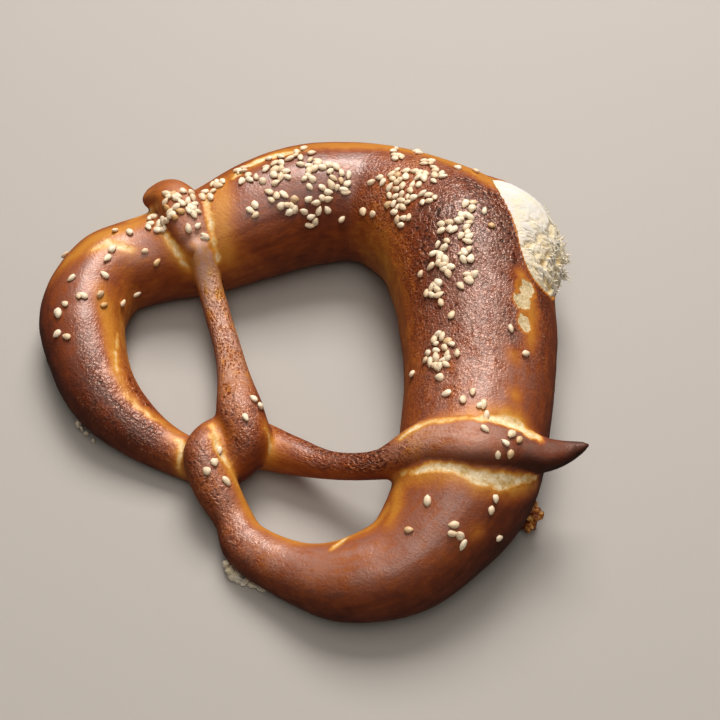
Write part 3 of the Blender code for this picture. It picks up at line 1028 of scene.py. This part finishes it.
random.seed(4)
baked_skin = BVHTree.FromObject(crust, bpy.context.evaluated_depsgraph_get())
strewn = []
seeds = []
for x, y, *spread_and_count in PINCHES:
    spread, count = spread_and_count or LONE_SEED
    for _ in range(count):
        for _ in range(THROWS):
            far, turn = spread * random.random() ** 0.5, random.uniform(0, 2 * np.pi)
            over = Vector((x + far * np.cos(turn), y + far * np.sin(turn), OVERHEAD)) * MM
            place, normal, _, _ = baked_skin.ray_cast(over, Vector((0, 0, -1)))
            if place and all((place - other).length > CLOSEST_SEEDS * MM for other in strewn):
                break
        if not place:
            continue
        strewn.append(place)
        size = random.uniform(0.86, 1.1)
        plump = Matrix.Diagonal((random.uniform(0.85, 1.1), random.uniform(0.85, 1.15), 1, 1))
        lean = (random.gauss(0, 0.22), random.gauss(0, 0.16))
        lie = normal.to_track_quat("Z", "X").to_matrix() @ Matrix.Rotation(random.uniform(0, 6.3), 3, "Z")
        lie = lie @ Matrix.Rotation(lean[0], 3, "X") @ Matrix.Rotation(lean[1], 3, "Y")
        copy = seed.copy()
        copy.data = seed.data.copy()
        move_corners(copy.data, seed_shape * [[1 + 0.05 * random.gauss(0, 1)] for _ in seed_shape])
        copy.data.transform(Matrix.Translation(place + normal * SEED_RAISED * SEED_THICKNESS * MM)
                            @ lie.to_4x4() @ Matrix.Scale(size, 4) @ plump)
        toast = random.uniform(0.6, 1) if random.random() < TOASTED_SHARE else random.uniform(0, 0.45)
        keep(copy.data, "toasted", toast)
        bpy.context.scene.collection.objects.link(copy)
        seeds.append(copy)
bpy.data.objects.remove(seed)
join_up(seeds, "sesame")
sesame = bpy.context.object

SEED_PALE = (0.87, 0.72, 0.51, 1)
SEED_TOASTED = (0.55, 0.29, 0.085, 1)
SPECK_DEPTH = 0.00008
tree, shader, where = new_finish(sesame, "hulled_sesame")
specks = grain(where, 1100, 2)
toasting = plus(stored("toasted"), times(stored("tip"), 0.25), swing(specks, 0.5))
feed(shader, {
    "Base Color": blend(toasting, SEED_PALE, SEED_TOASTED),
    "Roughness": ease(specks, 0.2, 0.8, 0.38, 0.55),
    "Normal": bumped(specks, SPECK_DEPTH),
})
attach(sesame, "root")

# --------------------
# Daylight, a pale table and the camera. A window behind the pretzel and the sky over it light its back
# edges, and the room gives a little light from the front.

bpy.ops.object.select_all(action="DESELECT")
bpy.ops.mesh.primitive_plane_add(size=6, location=(0, 0, -0.0002))
table_top = bpy.context.object
table_top.name = "table_top"
shader = new_finish(table_top, "pale_table")[1]
feed(shader, {"Base Color": (0.36, 0.325, 0.285, 1), "Roughness": 0.7})
table_top.visible_glossy = False

LOOK_AT = Vector((0.0176, 0.0001, 0.015))


def aim(thing, distance, azimuth, elevation):
    """Put a thing round the pretzel and turn it to face it. Azimuth 0 is in front, 90 to the right."""
    turn, rise = np.radians(azimuth), np.radians(elevation)
    back = Vector((np.sin(turn) * np.cos(rise), -np.cos(turn) * np.cos(rise), np.sin(rise)))
    thing.location = LOOK_AT + back * distance
    thing.rotation_euler = back.to_track_quat("Z", "Y").to_euler()


def window(name, azimuth, elevation, distance, size, power, colour):
    """A big soft light that faces the pretzel."""
    light = bpy.data.lights.new(name, "AREA")
    light.shape = "RECTANGLE"
    light.size, light.size_y = size
    light.energy = power
    light.color = colour
    lamp = bpy.data.objects.new(name, light)
    bpy.context.scene.collection.objects.link(lamp)
    aim(lamp, distance, azimuth, elevation)
    return lamp


window("window", 174, 52, 1.2, (0.6, 0.6), 19.5, (1, 0.98, 0.97))
window("skylight", 180, 98, 1.3, (0.65, 1.3), 7.5, (1, 0.98, 0.97))
window("room", 20, 60, 1.6, (1.6, 1.6), 2.8, (1, 0.93, 0.86)).visible_glossy = False
world = bpy.data.worlds.new("daylight")
bpy.context.scene.world = world
world.use_nodes = True
feed(world.node_tree.nodes["Background"], {"Color": (1, 0.95, 0.9, 1), "Strength": 0.05})
bpy.context.scene.view_settings.view_transform = "Standard"

camera = bpy.data.objects.new("camera", bpy.data.cameras.new("camera"))
bpy.context.scene.collection.objects.link(camera)
camera.data.lens = 75
camera.data.sensor_width = 36
aim(camera, 0.45, 0, 55)
bpy.context.scene.camera = camera
